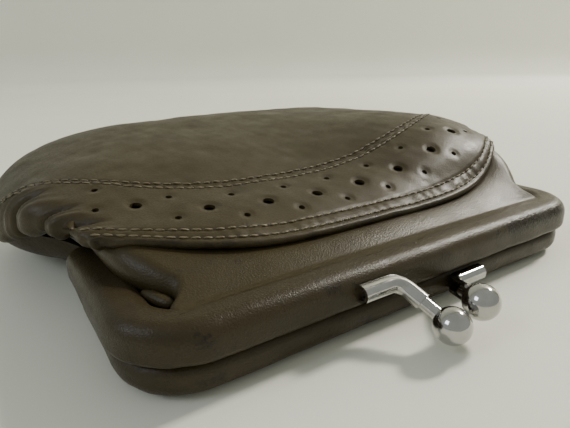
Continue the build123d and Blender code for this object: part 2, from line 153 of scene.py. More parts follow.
def shell(name, grid, normals, top, bottom, material, keep=None, values=None):
    """Closed sheet about a grid: top and bottom are distances along the normals.

    keep marks the quads that stay; what is left out gets a wall round it.
    """
    rows, columns = grid.shape[:2]
    upper = grid + normals * top[..., None]
    lower = grid + normals * bottom[..., None]
    points = np.concatenate([upper.reshape(-1, 3), lower.reshape(-1, 3)])
    index = np.arange(rows * columns).reshape(rows, columns)
    quads = np.stack([index[:-1, :-1], index[:-1, 1:], index[1:, 1:], index[1:, :-1]], -1)
    keep = np.ones(quads.shape[:2], bool) if keep is None else keep
    outside = quads[keep]
    inside = outside[:, ::-1] + rows * columns
    starts = outside.ravel()
    ends = np.roll(outside, -1, axis=1).ravel()
    count = rows * columns
    forward = starts.astype(np.int64) * count + ends
    backward = ends.astype(np.int64) * count + starts
    border = ~np.isin(forward, backward)
    a, b = starts[border], ends[border]
    wall = np.stack([b, a, a + count, b + count], -1)
    faces = np.concatenate([outside, inside, wall])
    group = np.concatenate([np.zeros(len(outside), int), np.ones(len(inside), int),
                            np.full(len(wall), 2)])
    uv = np.stack([spans(grid, 1), spans(grid, 0)], -1).reshape(-1, 2)
    doubled = {key: np.tile(value.ravel(), 2) for key, value in (values or {}).items()}
    used = np.unique(faces)
    renumber = np.full(len(points), -1)
    renumber[used] = np.arange(len(used))
    doubled = {key: value[used] for key, value in doubled.items()}
    return finish_mesh(name, points[used], renumber[faces], group, material,
                       np.tile(uv, (2, 1))[used], doubled)


def rounded(distance, radius):
    """How far a surface drops at this distance from a rounded edge."""
    t = np.clip(1 - distance / radius, 0, 1)
    return radius * (1 - np.sqrt(1 - t * t))


# ---- shape of the pouch --------------------------------------------------------------------
CROWN_LEFT = [(8, 13.6), (12.7, 15.5), (21, 18.6), (35, 21.2), (50, 24.8), (65, 27.8), (80, 29.6),
              (88, 30.0), (100, 30.0)]
CROWN_RIGHT = [(8, 13.8), (12, 15.2), (16, 18.2), (20, 23.2), (25, 26.4), (32, 28.4), (42, 29.8),
               (60, 30.4), (80, 30.2), (100, 30.2)]
HALF_WIDTH = [(8, 48), (21, 51), (30, 54.5), (40, 58.5), (50, 62), (60, 64.3), (70, 65), (100, 65)]
TOP_EDGE_Z = [(8, 16.6), (21, 17.8), (27, 18.3), (34, 18.2), (40, 17.6), (46, 16.2), (52, 14.2), (60, 10.8),
              (70, 8.0), (80, 7.2), (100, 7.0)]
BAND_FRONT_Y = 12.2
BAND_FRONT_BEND = 11.5
BAND_REAR_Y = 33.3
BAND_REAR_BEND = 27.0
CURL_COLUMNS = 10
LIP = 1.55                      # thickness of the turned-under front edge of the band


def half_width(y):
    wide = through(HALF_WIDTH, y)
    past = np.clip(y - CORNER_START_Y, 0, CORNER_RADIUS)
    corner = through(HALF_WIDTH, CORNER_START_Y) - CORNER_RADIUS
    return np.where(y > CORNER_START_Y, corner + np.sqrt(CORNER_RADIUS**2 - past**2), wide)


def crown(x, y):
    """Top line of the pouch, fuller on the right."""
    right = ramp(-4, 40, x)
    return through(CROWN_LEFT, y) * (1 - right) + through(CROWN_RIGHT, y) * right


def top_surface(side, y):
    """Point of the pouch's upper side; side runs from -1 to 1 and curls under past its ends."""
    across = np.clip(side, -1, 1)
    wide = half_width(y)
    x = across * wide
    steep = through([(8, 10), (26, 9), (60, 4.3), (100, 3.8)], y)
    fall = (1 - np.minimum(np.abs(across), 1)**steep)**(1 / 2.8)
    rear = np.clip((y - 45) / (REAR_Y - 45), 0, 1)
    fall = fall * (1 - rear**9)**(1 / 2.2)
    low = through(TOP_EDGE_Z, y)
    z = low + (crown(x, y) - low) * fall
    turn = np.clip(np.abs(side) - 1, 0, 1) * math.radians(150)
    radius = through([(8, 1.2), (40, 1.5), (54, 2.2), (64, 1.0), (100, 0.7)], y)
    x = x - np.sign(side) * radius * (1 - np.cos(turn))
    z = z - radius * np.sin(turn)
    return np.stack([x, y * np.ones_like(x), z], -1)


def side_steps(columns):
    """Even steps across the top that close up at the sides, then the curl."""
    s = np.linspace(-1, 1, columns)
    across = 1.12 * s - 0.12 * s**9
    curl = 1 + np.linspace(0, 1, CURL_COLUMNS + 1)[1:]
    return np.concatenate([-curl[::-1], across, curl])


FOLD_PITCH = 8.2                # between two pinched folds
FOLD_DEPTH = 2.9


def gathers(grid, side, seed):
    """Outward push of the pinched folds where the leather is gathered beside the hinge."""
    x, y = grid[..., 0], grid[..., 1]
    depth = np.clip((1 - np.abs(side)), 0, 1) * 55
    rng = np.random.default_rng(seed)
    lean = np.where(x < 0, 0.42, 0.36)
    run = y - 22.6 + lean * depth + 0.9 * np.sin(y * 0.45 + seed)
    lobe = np.abs(np.sin(math.pi * run / FOLD_PITCH))**0.6
    reach = ramp(6.5 + 2 * rng.uniform(), -0.5, depth)
    window = ramp(20, 24, y) * ramp(58, 48, y)
    small = 0.18 * np.sin(run * 2.9 + 1.3 * np.sin(run * 0.8))
    return ((lobe - 0.85) * FOLD_DEPTH + small) * reach * window


def tidy_columns(front, rear, side, rows):
    """Grid between two y limits per column, evenly spaced along the leather."""
    fine = np.linspace(0, 1, 260)[:, None]
    y = front + (rear - front) * fine
    line = top_surface(side[None, :] * np.ones_like(y), y)
    length = spans(line, 0)
    total = length[-1]
    out = np.empty((rows(total[0]).size, len(side), 3))
    for j in range(len(side)):
        steps = rows(total[j])
        for k in range(3):
            out[:, j, k] = np.interp(steps, length[:, j], line[:, j, k])
    return out


def leather_dents(grid, seed, size=0.16):
    return (size * ripple(grid, 26, seed) + 0.55 * size * ripple(grid, 11, seed + 1)
            + 0.16 * size * ripple(grid, 4, seed + 2))


# ---- finishes ------------------------------------------------------------------------------
def add(tree, kind, inputs=None, **settings):
    """New node; inputs may be values or sockets to link."""
    node = tree.nodes.new(kind)
    for key, value in settings.items():
        setattr(node, key, value)
    for key, value in (inputs or {}).items():
        socket = node.inputs[key]
        if isinstance(value, bpy.types.NodeSocket):
            tree.links.new(value, socket)
        else:
            socket.default_value = value
    return node


def new_material(name):
    material = bpy.data.materials.new(name)
    material.use_nodes = True
    tree = material.node_tree
    tree.nodes.clear()
    shader = add(tree, "ShaderNodeBsdfPrincipled")
    output = add(tree, "ShaderNodeOutputMaterial")
    tree.links.new(shader.outputs[0], output.inputs[0])
    return material, tree, shader


def noise(tree, where, size_mm, detail=3.0, roughness=0.5):
    """Noise whose features are about size_mm wide."""
    return add(tree, "ShaderNodeTexNoise", {"Vector": where, "Scale": 1000.0 / size_mm,
                                            "Detail": detail, "Roughness": roughness}).outputs["Fac"]


def cells(tree, where, size_mm, feature="F1", smooth=None):
    node = add(tree, "ShaderNodeTexVoronoi", {"Vector": where, "Scale": 1000.0 / size_mm},
               feature=feature)
    if smooth is not None:
        node.inputs["Smoothness"].default_value = smooth
    return node.outputs["Distance"]


def math_node(tree, operation, a, b=0.5, clamp=False):
    return add(tree, "ShaderNodeMath", {0: a, 1: b}, operation=operation, use_clamp=clamp).outputs[0]


def remap(tree, value, low, high, to_low=0.0, to_high=1.0):
    return add(tree, "ShaderNodeMapRange", {"Value": value, "From Min": low, "From Max": high,
                                            "To Min": to_low, "To Max": to_high}).outputs["Result"]


def mix_colour(tree, amount, a, b, blend="MIX"):
    node = add(tree, "ShaderNodeMix", data_type="RGBA", blend_type=blend)
    for socket, value in ((node.inputs[0], amount), (node.inputs[6], a), (node.inputs[7], b)):
        if isinstance(value, bpy.types.NodeSocket):
            tree.links.new(value, socket)
        else:
            socket.default_value = value
    return node.outputs[2]


def shade(r, g, b):
    return (r, g, b, 1.0)


def leather(name, base, light, dark, gloss, grain_mm=0.55, grain_strength=0.5, crease=0.4,
            wear_dark=0.0):
    """Glazed, fine-grained leather; the wear attribute darkens and cracks it."""
    material, tree, shader = new_material(name)
    where = add(tree, "ShaderNodeTexCoord").outputs["Object"]
    clouds = noise(tree, where, 16, 4.0)
    patches = noise(tree, where, 4.5, 3.0)
    fine = noise(tree, where, 0.9, 2.0)
    colour = mix_colour(tree, remap(tree, clouds, 0.35, 0.68), base, light)
    colour = mix_colour(tree, remap(tree, patches, 0.5, 0.78, 0.0, 0.45), colour, dark)
    grain = cells(tree, where, grain_mm, "SMOOTH_F1", 0.45)
    small_grain = cells(tree, where, grain_mm * 0.5)
    colour = mix_colour(tree, remap(tree, grain, 0.25, 0.75, 0.0, 0.35), colour, dark)
    wear = add(tree, "ShaderNodeAttribute", attribute_name="wear").outputs["Fac"]
    worn_edge = math_node(tree, "ADD", wear, remap(tree, patches, 0.3, 0.7, -0.35, 0.35))
    worn_edge = math_node(tree, "ADD", worn_edge, remap(tree, fine, 0.3, 0.7, -0.22, 0.22))
    worn = remap(tree, worn_edge, 0.42, 0.62)
    black = shade(0.014, 0.011, 0.008)
    colour = mix_colour(tree, math_node(tree, "MULTIPLY", worn, wear_dark), colour, black)
    specks = remap(tree, noise(tree, where, 1.6, 1.0), 0.70, 0.76, 0.0, 0.55)
    colour = mix_colour(tree, math_node(tree, "MULTIPLY", specks, wear, True), colour, black)
    tree.links.new(colour, shader.inputs["Base Color"])
    rough = remap(tree, patches, 0.3, 0.7, gloss - 0.05, gloss + 0.07)
    rough = math_node(tree, "ADD", rough, remap(tree, grain, 0.2, 0.8, -0.04, 0.06))
    tree.links.new(math_node(tree, "SUBTRACT", rough, math_node(tree, "MULTIPLY", worn, 0.06)),
                   shader.inputs["Roughness"])
    shader.inputs["Specular IOR Level"].default_value = 0.24
    shader.inputs["Sheen Weight"].default_value = 0.0
    shader.inputs["Sheen Roughness"].default_value = 0.5
    height = math_node(tree, "MULTIPLY", grain, 0.75)
    height = math_node(tree, "ADD", height, math_node(tree, "MULTIPLY", small_grain, 0.30))
    height = math_node(tree, "ADD", height, math_node(tree, "MULTIPLY", fine, 0.5))
    creases = noise(tree, where, 2.6, 3.0, 0.6)
    height = math_node(tree, "ADD", height, math_node(tree, "MULTIPLY", creases, crease * 3))
    cracks = math_node(tree, "MULTIPLY", cells(tree, where, 0.8, "DISTANCE_TO_EDGE"), worn)
    height = math_node(tree, "ADD", height, math_node(tree, "MULTIPLY", cracks, 1.6))
    bump = add(tree, "ShaderNodeBump", {"Height": height, "Strength": grain_strength,
                                        "Distance": 0.00012})
    tree.links.new(bump.outputs[0], shader.inputs["Normal"])
    return material


def chrome(name):
    material, tree, shader = new_material(name)
    where = add(tree, "ShaderNodeTexCoord").outputs["Object"]
    haze = noise(tree, where, 3.0, 4.0)
    fine = noise(tree, where, 0.35, 2.0)
    colour = mix_colour(tree, remap(tree, haze, 0.4, 0.75, 0.0, 0.5), shade(0.50, 0.49, 0.48),
                        shade(0.30, 0.29, 0.27))
    pits = remap(tree, cells(tree, where, 0.9), 0.05, 0.12, 1.0, 0.0)
    pits = math_node(tree, "MULTIPLY", pits, remap(tree, haze, 0.5, 0.62))
    colour = mix_colour(tree, math_node(tree, "MULTIPLY", pits, 0.7), colour, shade(0.16, 0.13, 0.1))
    tree.links.new(colour, shader.inputs["Base Color"])
    shader.inputs["Metallic"].default_value = 1.0
    rough = math_node(tree, "ADD", remap(tree, haze, 0.3, 0.7, 0.07, 0.16),
                      math_node(tree, "MULTIPLY", pits, 0.3))
    tree.links.new(rough, shader.inputs["Roughness"])
    height = math_node(tree, "ADD", haze, math_node(tree, "MULTIPLY", fine, 0.08))
    height = math_node(tree, "SUBTRACT", height, math_node(tree, "MULTIPLY", pits, 0.3))
    bump = add(tree, "ShaderNodeBump", {"Height": height, "Strength": 0.25, "Distance": 0.00012})
    tree.links.new(bump.outputs[0], shader.inputs["Normal"])
    return material


def rolled_steel(name):
    material, tree, shader = new_material(name)
    where = add(tree, "ShaderNodeTexCoord").outputs["Object"]
    drawn = add(tree, "ShaderNodeMapping", {"Vector": where, "Scale": (0.08, 1.0, 1.0)}).outputs[0]
    lines = noise(tree, drawn, 0.12, 3.0)
    stain = noise(tree, where, 2.5, 4.0)
    colour = mix_colour(tree, remap(tree, stain, 0.4, 0.7), shade(0.46, 0.45, 0.42),
                        shade(0.30, 0.27, 0.22))
    colour = mix_colour(tree, remap(tree, lines, 0.35, 0.65, 0.0, 0.3), colour, shade(0.6, 0.59, 0.56))
    tree.links.new(colour, shader.inputs["Base Color"])
    shader.inputs["Metallic"].default_value = 1.0
    tree.links.new(remap(tree, stain, 0.3, 0.7, 0.28, 0.46), shader.inputs["Roughness"])
    bump = add(tree, "ShaderNodeBump", {"Height": lines, "Strength": 0.2, "Distance": 0.00005})
    tree.links.new(bump.outputs[0], shader.inputs["Normal"])
    return material


def woven(name, base, light, pitch_mm):
    """Plain weave that follows the piece's own length map."""
    material, tree, shader = new_material(name)
    where = add(tree, "ShaderNodeTexCoord").outputs["Object"]
    lengths = add(tree, "ShaderNodeUVMap", uv_map="length").outputs[0]
    over = add(tree, "ShaderNodeTexWave", {"Vector": lengths, "Scale": 314.0 / pitch_mm,
                                           "Distortion": 0.25}, bands_direction="X").outputs["Fac"]
    under = add(tree, "ShaderNodeTexWave", {"Vector": lengths, "Scale": 314.0 / pitch_mm,
                                            "Distortion": 0.25}, bands_direction="Y").outputs["Fac"]
    weave = math_node(tree, "MULTIPLY", over, under)
    mottle = noise(tree, where, 7, 4.0)
    colour = mix_colour(tree, weave, base, light)
    colour = mix_colour(tree, remap(tree, mottle, 0.4, 0.75, 0.0, 0.5), colour, base, "MULTIPLY")
    tree.links.new(colour, shader.inputs["Base Color"])
    tree.links.new(remap(tree, mottle, 0.3, 0.7, 0.72, 0.9), shader.inputs["Roughness"])
    shader.inputs["Sheen Weight"].default_value = 0.25
    bump = add(tree, "ShaderNodeBump", {"Height": weave, "Strength": 0.5, "Distance": 0.0001})
    tree.links.new(bump.outputs[0], shader.inputs["Normal"])
    return material


def spun(name, base, light, size_mm, gloss):
    """Twisted thread or paper cord."""
    material, tree, shader = new_material(name)
    where = add(tree, "ShaderNodeTexCoord").outputs["Object"]
    twist = add(tree, "ShaderNodeTexWave", {"Vector": where, "Scale": 314.0 / size_mm,
                                            "Distortion": 1.5}, bands_direction="DIAGONAL").outputs["Fac"]
    fluff = noise(tree, where, size_mm * 0.6, 3.0)
    colour = mix_colour(tree, twist, base, light)
    colour = mix_colour(tree, remap(tree, fluff, 0.45, 0.8, 0.0, 0.5), colour, base, "MULTIPLY")
    tree.links.new(colour, shader.inputs["Base Color"])
    tree.links.new(remap(tree, fluff, 0.3, 0.7, gloss, gloss + 0.2), shader.inputs["Roughness"])
    bump = add(tree, "ShaderNodeBump", {"Height": twist, "Strength": 0.6, "Distance": 0.00008})
    tree.links.new(bump.outputs[0], shader.inputs["Normal"])
    return material


POUCH_TAUPE = shade(0.042, 0.031, 0.0130)
POUCH_LIGHT = shade(0.052, 0.039, 0.0170)
POUCH_DARK = shade(0.029, 0.021, 0.0090)
pouch_finish = leather("pouch_leather_taupe", POUCH_TAUPE, POUCH_LIGHT, POUCH_DARK, 0.42,
                       0.34, 0.30, 0.20, 0.5)
yoke_finish = leather("yoke_leather_taupe", POUCH_TAUPE, POUCH_LIGHT, POUCH_DARK, 0.36,
                      0.30, 0.42, 0.12, 0.5)
frame_finish = leather("frame_leather_worn", shade(0.036, 0.026, 0.012), shade(0.045, 0.033, 0.015),
                       shade(0.024, 0.017, 0.008), 0.33, 0.28, 0.50, 0.12, 0.75)
back_finish = leather("back_leather_taupe", shade(0.036, 0.026, 0.012), POUCH_TAUPE, POUCH_DARK, 0.44,
                      0.55, 0.4, 0.4, 0.5)
# near-black backing colour: painted shade for the insides of the band's holes
backing_painted_shade_finish = leather("backing_leather_painted_shade", shade(0.016, 0.013, 0.010), shade(0.024, 0.02, 0.015),
                         shade(0.008, 0.007, 0.006), 0.7, 0.6, 0.3, 0.3, 0.0)
clasp_finish = chrome("clasp_plating")
steel_finish = rolled_steel("frame_steel")
lining_finish = woven("lining_cloth", shade(0.050, 0.042, 0.032), shade(0.13, 0.112, 0.088), 0.45)
cord_finish = spun("packing_paper", shade(0.30, 0.23, 0.14), shade(0.52, 0.42, 0.28), 0.8, 0.7)
thread_finish = spun("waxed_thread", shade(0.115, 0.092, 0.052), shade(0.20, 0.165, 0.10), 0.35, 0.42)
# dark needle-hole finish: painted shade of the holes the thread passes through
needle_hole_shade_finish = leather("needle_hole_painted_shade", shade(0.02, 0.016, 0.011), shade(0.03, 0.024, 0.017),
                        shade(0.012, 0.01, 0.007), 0.6, 0.3, 0.2, 0.2, 0.0)


# ---- frame covers --------------------------------------------------------------------------
def bar_section(width, height, radii, steps=9):
    """Rounded bar section, anticlockwise from outside-bottom; +x points out of the purse."""
    corners = [(1, -1, radii[0]), (1, 1, radii[1]), (-1, 1, radii[2]), (-1, -1, radii[3])]
    points = []
    for i, (sx, sz, radius) in enumerate(corners):
        centre = (sx * (width / 2 - radius), sz * (height / 2 - radius))
        start = math.radians(-90 + 90 * i)
        for step in range(steps):
            angle = start + math.radians(90) * step / (steps - 1)
            points.append((centre[0] + radius * math.cos(angle), centre[1] + radius * math.sin(angle)))
        following = corners[(i + 1) % 4]
        end = points[-1]
        nx, nz, nr = following
        angle = start + math.radians(90)
        begin = (nx * (width / 2 - nr) + nr * math.cos(angle), nz * (height / 2 - nr) + nr * math.sin(angle))
        for share in (0.25, 0.5, 0.75):
            points.append((end[0] + (begin[0] - end[0]) * share, end[1] + (begin[1] - end[1]) * share))
    return np.array(points)


def bar_path(half_x, front, radius, end_y, step=0.7):
    """Plan points and outward directions from the left arm's end round to the right arm's end."""
    centre_x = half_x - radius
    centre_y = front + radius
    arm = end_y - centre_y
    turn = radius * math.pi / 2
    total = 2 * arm + 2 * turn + 2 * centre_x
    places = []
    for s in np.linspace(0, total, int(total / step)):
        if s < arm:
            places.append((-half_x, end_y - s, -1, 0))
        elif s < arm + turn:
            a = (s - arm) / radius
            places.append((-centre_x - radius * math.cos(a), centre_y - radius * math.sin(a),
                           -math.cos(a), -math.sin(a)))
        elif s < arm + turn + 2 * centre_x:
            places.append((-centre_x + s - arm - turn, front, 0, -1))
        elif s < arm + 2 * turn + 2 * centre_x:
            a = (s - arm - turn - 2 * centre_x) / radius
            places.append((centre_x + radius * math.sin(a), centre_y - radius * math.cos(a),
                           math.sin(a), -math.cos(a)))
        else:
            places.append((half_x, centre_y + s - arm - 2 * turn - 2 * centre_x, 1, 0))
    return np.array(places)


def frame_cover(name, width, height, radii, half_x, front, z, radius, end_y, seed, wear):
    section = bar_section(width, height, radii)
    places = bar_path(half_x, front, radius, end_y)
    cap = [(math.cos(a), math.sin(a)) for a in np.radians([90, 72, 52, 30, 0])]
    heads = [(reach * 1.6, max(shrink, 0.02)) for reach, shrink in cap[1:]]
    start = [(places[0, 0], places[0, 1] + reach, -1, 0) for reach, _ in heads[::-1]]
    stop = [(places[-1, 0], places[-1, 1] + reach, 1, 0) for reach, _ in heads]
    scale = np.concatenate([[s for _, s in heads[::-1]], np.ones(len(places)), [s for _, s in heads]])
    places = np.concatenate([start, places, stop])
    count = len(section)
    grid = np.empty((len(places), count, 3))
    grid[..., 0] = places[:, None, 0] + places[:, None, 2] * section[None, :, 0] * scale[:, None]
    grid[..., 1] = places[:, None, 1] + places[:, None, 3] * section[None, :, 0] * scale[:, None]
    grid[..., 2] = z + section[None, :, 1] * scale[:, None]
    middle = np.stack([places[:, 0], places[:, 1], np.full(len(places), z)], -1)[:, None]
    out = grid - middle
    out /= np.maximum(np.linalg.norm(out, axis=-1, keepdims=True), 1e-6)
    corner = np.exp(-((np.abs(grid[..., 0]) - half_x) / 7)**2) * np.exp(-((grid[..., 1] - front) / 9)**2)
    dents = 0.05 * ripple(grid, 16, seed) + 0.015 * ripple(grid, 5, seed + 3)
    dents += corner * 0.03 * ripple(grid * [1, 1, 0.4], 2.6, seed + 5)
    grid += out * dents[..., None]
    rows = len(places)
    index = np.arange(rows * count).reshape(rows, count)
    nxt = np.roll(index, -1, axis=1)
    quads = np.stack([index[:-1], nxt[:-1], nxt[1:], index[1:]], -1).reshape(-1, 4)
    uv = np.stack([spans(grid, 0), spans(grid, 1)], -1).reshape(-1, 2)
    piece = finish_mesh(name, grid.reshape(-1, 3), quads, np.zeros(len(quads), int), frame_finish, uv,
                        {"wear": wear(grid).ravel()})
    work = bmesh.new()
    work.from_mesh(piece.data)
    holes = [e for e in work.edges if e.is_boundary]
    bmesh.ops.holes_fill(work, edges=holes, sides=0)
    bmesh.ops.recalc_face_normals(work, faces=work.faces)
    work.to_mesh(piece.data)
    work.free()
    return piece


def upper_wear(grid):
    x, y, z = grid[..., 0], grid[..., 1], grid[..., 2]
    ridge = np.exp(-((z - 11.2) / 1.9)**2) * np.exp(-((y - 0.6) / 1.7)**2)
    patch = ridge * np.exp(-((x - 33) / 12)**2) * 1.15
    left = np.exp(-((z - 9.5) / 3.0)**2) * np.exp(-((x + 38) / 15)**2) * np.exp(-((y - 1.5) / 4)**2) * 0.30
    return np.clip(0.06 + patch + left + 0.12 * ridge, 0, 1)


def lower_wear(grid):
    y, z = grid[..., 1], grid[..., 2]
    return np.clip(0.08 + 0.22 * np.exp(-((y - 1.5) / 3)**2) * np.exp(-((z - 3.5) / 2)**2), 0, 1)


UPPER_BAR_WIDTH = 7.7
UPPER_BAR_HEIGHT = 6.5
UPPER_HALF_X = 55.0             # outer faces of the arms
UPPER_CORNER = 12.4             # outer corner radius in plan
UPPER_ARM_END_Y = 37.6
LOWER_BAR_WIDTH = 8.8
LOWER_BAR_HEIGHT = 5.3
LOWER_HALF_X = 54.0
LOWER_CORNER = 11.4
LOWER_ARM_END_Y = 33.2          # short enough to clear the upper arms when the purse is open
LOWER_SET_BACK = 1.0            # the lower half's front stands behind the upper half's

upper_cover = frame_cover("upper_cover_leather", UPPER_BAR_WIDTH, UPPER_BAR_HEIGHT, (1.3, 3.0, 3.1, 1.2),
                          UPPER_HALF_X - UPPER_BAR_WIDTH / 2, UPPER_BAR_WIDTH / 2, 9.5,
                          UPPER_CORNER - UPPER_BAR_WIDTH / 2, UPPER_ARM_END_Y, 11, upper_wear)
lower_cover = frame_cover("lower_cover_leather", LOWER_BAR_WIDTH, LOWER_BAR_HEIGHT, (2.4, 1.8, 1.2, 1.6),
                          LOWER_HALF_X - LOWER_BAR_WIDTH / 2, LOWER_BAR_WIDTH / 2 + LOWER_SET_BACK, 3.3,
                          LOWER_CORNER - LOWER_BAR_WIDTH / 2, LOWER_ARM_END_Y, 23, lower_wear)
for cover, node, body in ((upper_cover, "upper_frame_cover", "upper_half"),
                          (lower_cover, "lower_frame_cover", "pouch")):
    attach(cover, body)
    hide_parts(node)


# ---- yoke ----------------------------------------------------------------------------------
YOKE_HALF = [(4.5, 46.8), (8.0, 46.4), (9.6, 44.9), (11.3, 44.4), (14, 46.2), (17, 48.2), (20, 49.6),
             (25, 50.8), (31, 51.6)]
VALLEY_Z = 12.45                # lowest line between the frame's top and the yoke
VALLEY_Y = 7.4
YOKE_ROLL = [(5, 1.0), (9, 1.6), (12, 2.2), (16, 2.9), (31, 3.0)]


def yoke_height(x, y):
    """Rises from the frame to meet the underside of the band's lip, then runs on under the band."""
    lip_y = BAND_FRONT_Y + BAND_FRONT_BEND * np.minimum(np.abs(x) / 50.5, 1.0)**4 + 0.3
    lip_z = top_surface(np.clip(x / half_width(lip_y), -0.97, 0.97), lip_y)[..., 2] - LIP + 0.42
    t = np.clip((y - VALLEY_Y) / (lip_y - VALLEY_Y), 0, 1)
    rise = VALLEY_Z + (lip_z - VALLEY_Z) * (0.72 * np.sin(t * math.pi / 2) + 0.28 * t * t)
    rise = rise + 0.27 * np.clip((VALLEY_Y - y) / 2.8, 0, 1)**1.5
    return rise + 0.12 * np.clip(y - lip_y, 0, 30)


def yoke_surface():
    y = np.concatenate([np.linspace(4.6, 16, 48), np.linspace(16.4, 30, 28)])
    inner = np.linspace(-1, 1, 210)
    turn = np.radians(np.linspace(0, 148, 19)[1:])
    tail = np.linspace(0, 1, 7)[1:]
    columns = 2 * (len(turn) + len(tail)) + len(inner)
    grid = np.empty((len(y), columns, 3))
    for i, row in enumerate(y):
        wide = float(through(YOKE_HALF, row))
        roll = float(through(YOKE_ROLL, row))
        flat = wide - roll
        x = inner * flat
        z = yoke_height(x, row)
        edge_z = z[-1]
        right_x = np.concatenate([flat + roll * np.sin(turn),
                                  flat + roll * np.sin(turn[-1]) - tail * 0.8])
        drop = roll * (1 - np.cos(turn))
        right_z = np.concatenate([-drop, -drop[-1] - tail * 2.4])
        grid[i, :, 0] = np.concatenate([-right_x[::-1], x, right_x])
        grid[i, :, 1] = row
        grid[i, :, 2] = np.concatenate([z[0] + right_z[::-1], z, edge_z + right_z])
    return grid


yoke_grid = yoke_surface()
yoke_normals = grid_normals(yoke_grid)
yoke_y = yoke_grid[..., 1]
yoke_push = leather_dents(yoke_grid, 41, 0.05) * ramp(6, 10, yoke_y)
yoke_piece = shell("yoke_leather", yoke_grid, yoke_normals, yoke_push, yoke_push - LEATHER, yoke_finish,
                   values={"wear": np.full(yoke_grid.shape[:2], 0.08)})
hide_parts("front_yoke")


def corner_pleat(name, sign):
    """Small rolled end of the fold at the frame's inner corner."""
    turns, rings = 28, 22
    a = np.linspace(0, 2 * math.pi, turns)
    b = np.linspace(0.02, math.pi - 0.02, rings)[:, None]
    along = -np.cos(b) * 3.0
    radius = 1.15 * np.sin(b)**0.7 * (1 - 0.10 * along / 3.0)
    x = sign * (45.2 + 0.40 * (along + 3.0)) + radius * np.cos(a)
    y = 12.8 + along + 0 * a
    z = 11.3 + 0.06 * (along + 3.0) + radius * 0.95 * np.sin(a)
    grid = np.stack([x + 0 * y, y, z], -1)
    dents = 0.05 * ripple(grid, 2.4, 61)
    index = np.arange(rings * turns).reshape(rings, turns)
    quads = np.stack([index[:-1, :-1], index[1:, :-1], index[1:, 1:], index[:-1, 1:]], -1).reshape(-1, 4)
    grid[..., 2] += dents
    grid[:, -1] = grid[:, 0]
    piece = finish_mesh(name, grid.reshape(-1, 3), quads, np.zeros(len(quads), int), yoke_finish, None,
                        {"wear": np.full(rings * turns, 0.2)})
    work = bmesh.new()
    work.from_mesh(piece.data)
    bmesh.ops.holes_fill(work, edges=[e for e in work.edges if e.is_boundary], sides=0)
    bmesh.ops.recalc_face_normals(work, faces=work.faces)
    work.to_mesh(piece.data)
    work.free()
    return piece


for piece in (yoke_piece, corner_pleat("corner_pleat_left", -1), corner_pleat("corner_pleat_right", 1)):
    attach(piece, "upper_half")


# ---- band with its holes -------------------------------------------------------------------
BAND_THICKNESS = 0.95
ROWS_FROM_EDGE = (1.75, 4.3)    # stitch rows behind the lip
ROW_FROM_SEAM = 1.3             # stitch row in front of the seam, and one behind it
STITCH_PITCH = 1.95


def across_limits(side):
    bend = np.minimum(np.abs(side), 1.0)**4
    return BAND_FRONT_Y + BAND_FRONT_BEND * bend, BAND_REAR_Y + BAND_REAR_BEND * bend


band_side = side_steps(440)
front_y, seam_y = across_limits(band_side)
ROUND_STEPS = LIP / 2 * (1 - np.cos(np.radians([0, 22, 42, 60, 76])))


def band_rows(total):
    inner = np.linspace(LIP / 2, total - 0.3, 66)
    return np.concatenate([ROUND_STEPS, inner, [total - 0.12, total]])


band_grid = tidy_columns(front_y, seam_y, band_side, band_rows)
band_run = spans(band_grid, 0)
band_total = band_run[-1]
band_normals = grid_normals(band_grid)


def band_point(x, share):
    """Point on the band at a place along x and a share of the way across it."""
    middle = np.abs(band_grid[20, :, 0] - x).argmin()
    for _ in range(3):
        total = band_total[middle]
        run = share * total
        row = np.abs(band_run[:, middle] - run).argmin()
        middle = np.abs(band_grid[row, :, 0] - x + 1e3 * (np.abs(band_side) > 1)).argmin()
    return np.array([np.interp(run, band_run[:, middle], band_grid[:, middle, k]) for k in range(3)])


HOLE_PITCH = 11.4
MIDDLE_HOLE_X = 2.9             # the middle large hole stands a little right of centre
LARGE_HOLE = 1.12
SMALL_HOLE = 0.64
hole_centres = []
for k in range(-4, 5):
    x = MIDDLE_HOLE_X + HOLE_PITCH * k
    hole_centres.append((band_point(x, 0.53 + 0.15 * float(ramp(34, 54, abs(x)))), LARGE_HOLE))
for k in range(-5, 4):
    x = MIDDLE_HOLE_X + HOLE_PITCH * (k + 0.5)
    shift = 0.12 * float(ramp(34, 54, abs(x)))
    hole_centres.append((band_point(x + 0.6, 0.76 + 0.6 * shift), SMALL_HOLE))
    hole_centres.append((band_point(x - 0.9, 0.35 + shift), SMALL_HOLE))


def punch(grid, centres):
    """Quads that stay, with the grid's points drawn onto each hole's edge."""
    keep = np.ones((grid.shape[0] - 1, grid.shape[1] - 1), bool)
    middles = (grid[:-1, :-1] + grid[1:, :-1] + grid[1:, 1:] + grid[:-1, 1:]) / 4
    dent = np.zeros(grid.shape[:2])
    for centre, radius in centres:
        far = np.linalg.norm(middles - centre, axis=-1)
        keep &= far > radius
        near = np.linalg.norm(grid - centre, axis=-1)
        dent -= 0.28 * radius**0.5 * np.exp(-(np.maximum(near - radius, 0) / 0.75)**2)
    gone = ~keep
    touched = np.zeros(grid.shape[:2], bool)
    kept = np.zeros(grid.shape[:2], bool)
    for di in (0, 1):
        for dj in (0, 1):
            touched[di:di + gone.shape[0], dj:dj + gone.shape[1]] |= gone
            kept[di:di + gone.shape[0], dj:dj + gone.shape[1]] |= keep
    for centre, radius in centres:
        away = grid - centre
        near = np.linalg.norm(away, axis=-1)
        edge = touched & kept & (near < radius + 1.2)
        grid[edge] = centre + away[edge] / near[edge][:, None] * radius
    return keep, dent


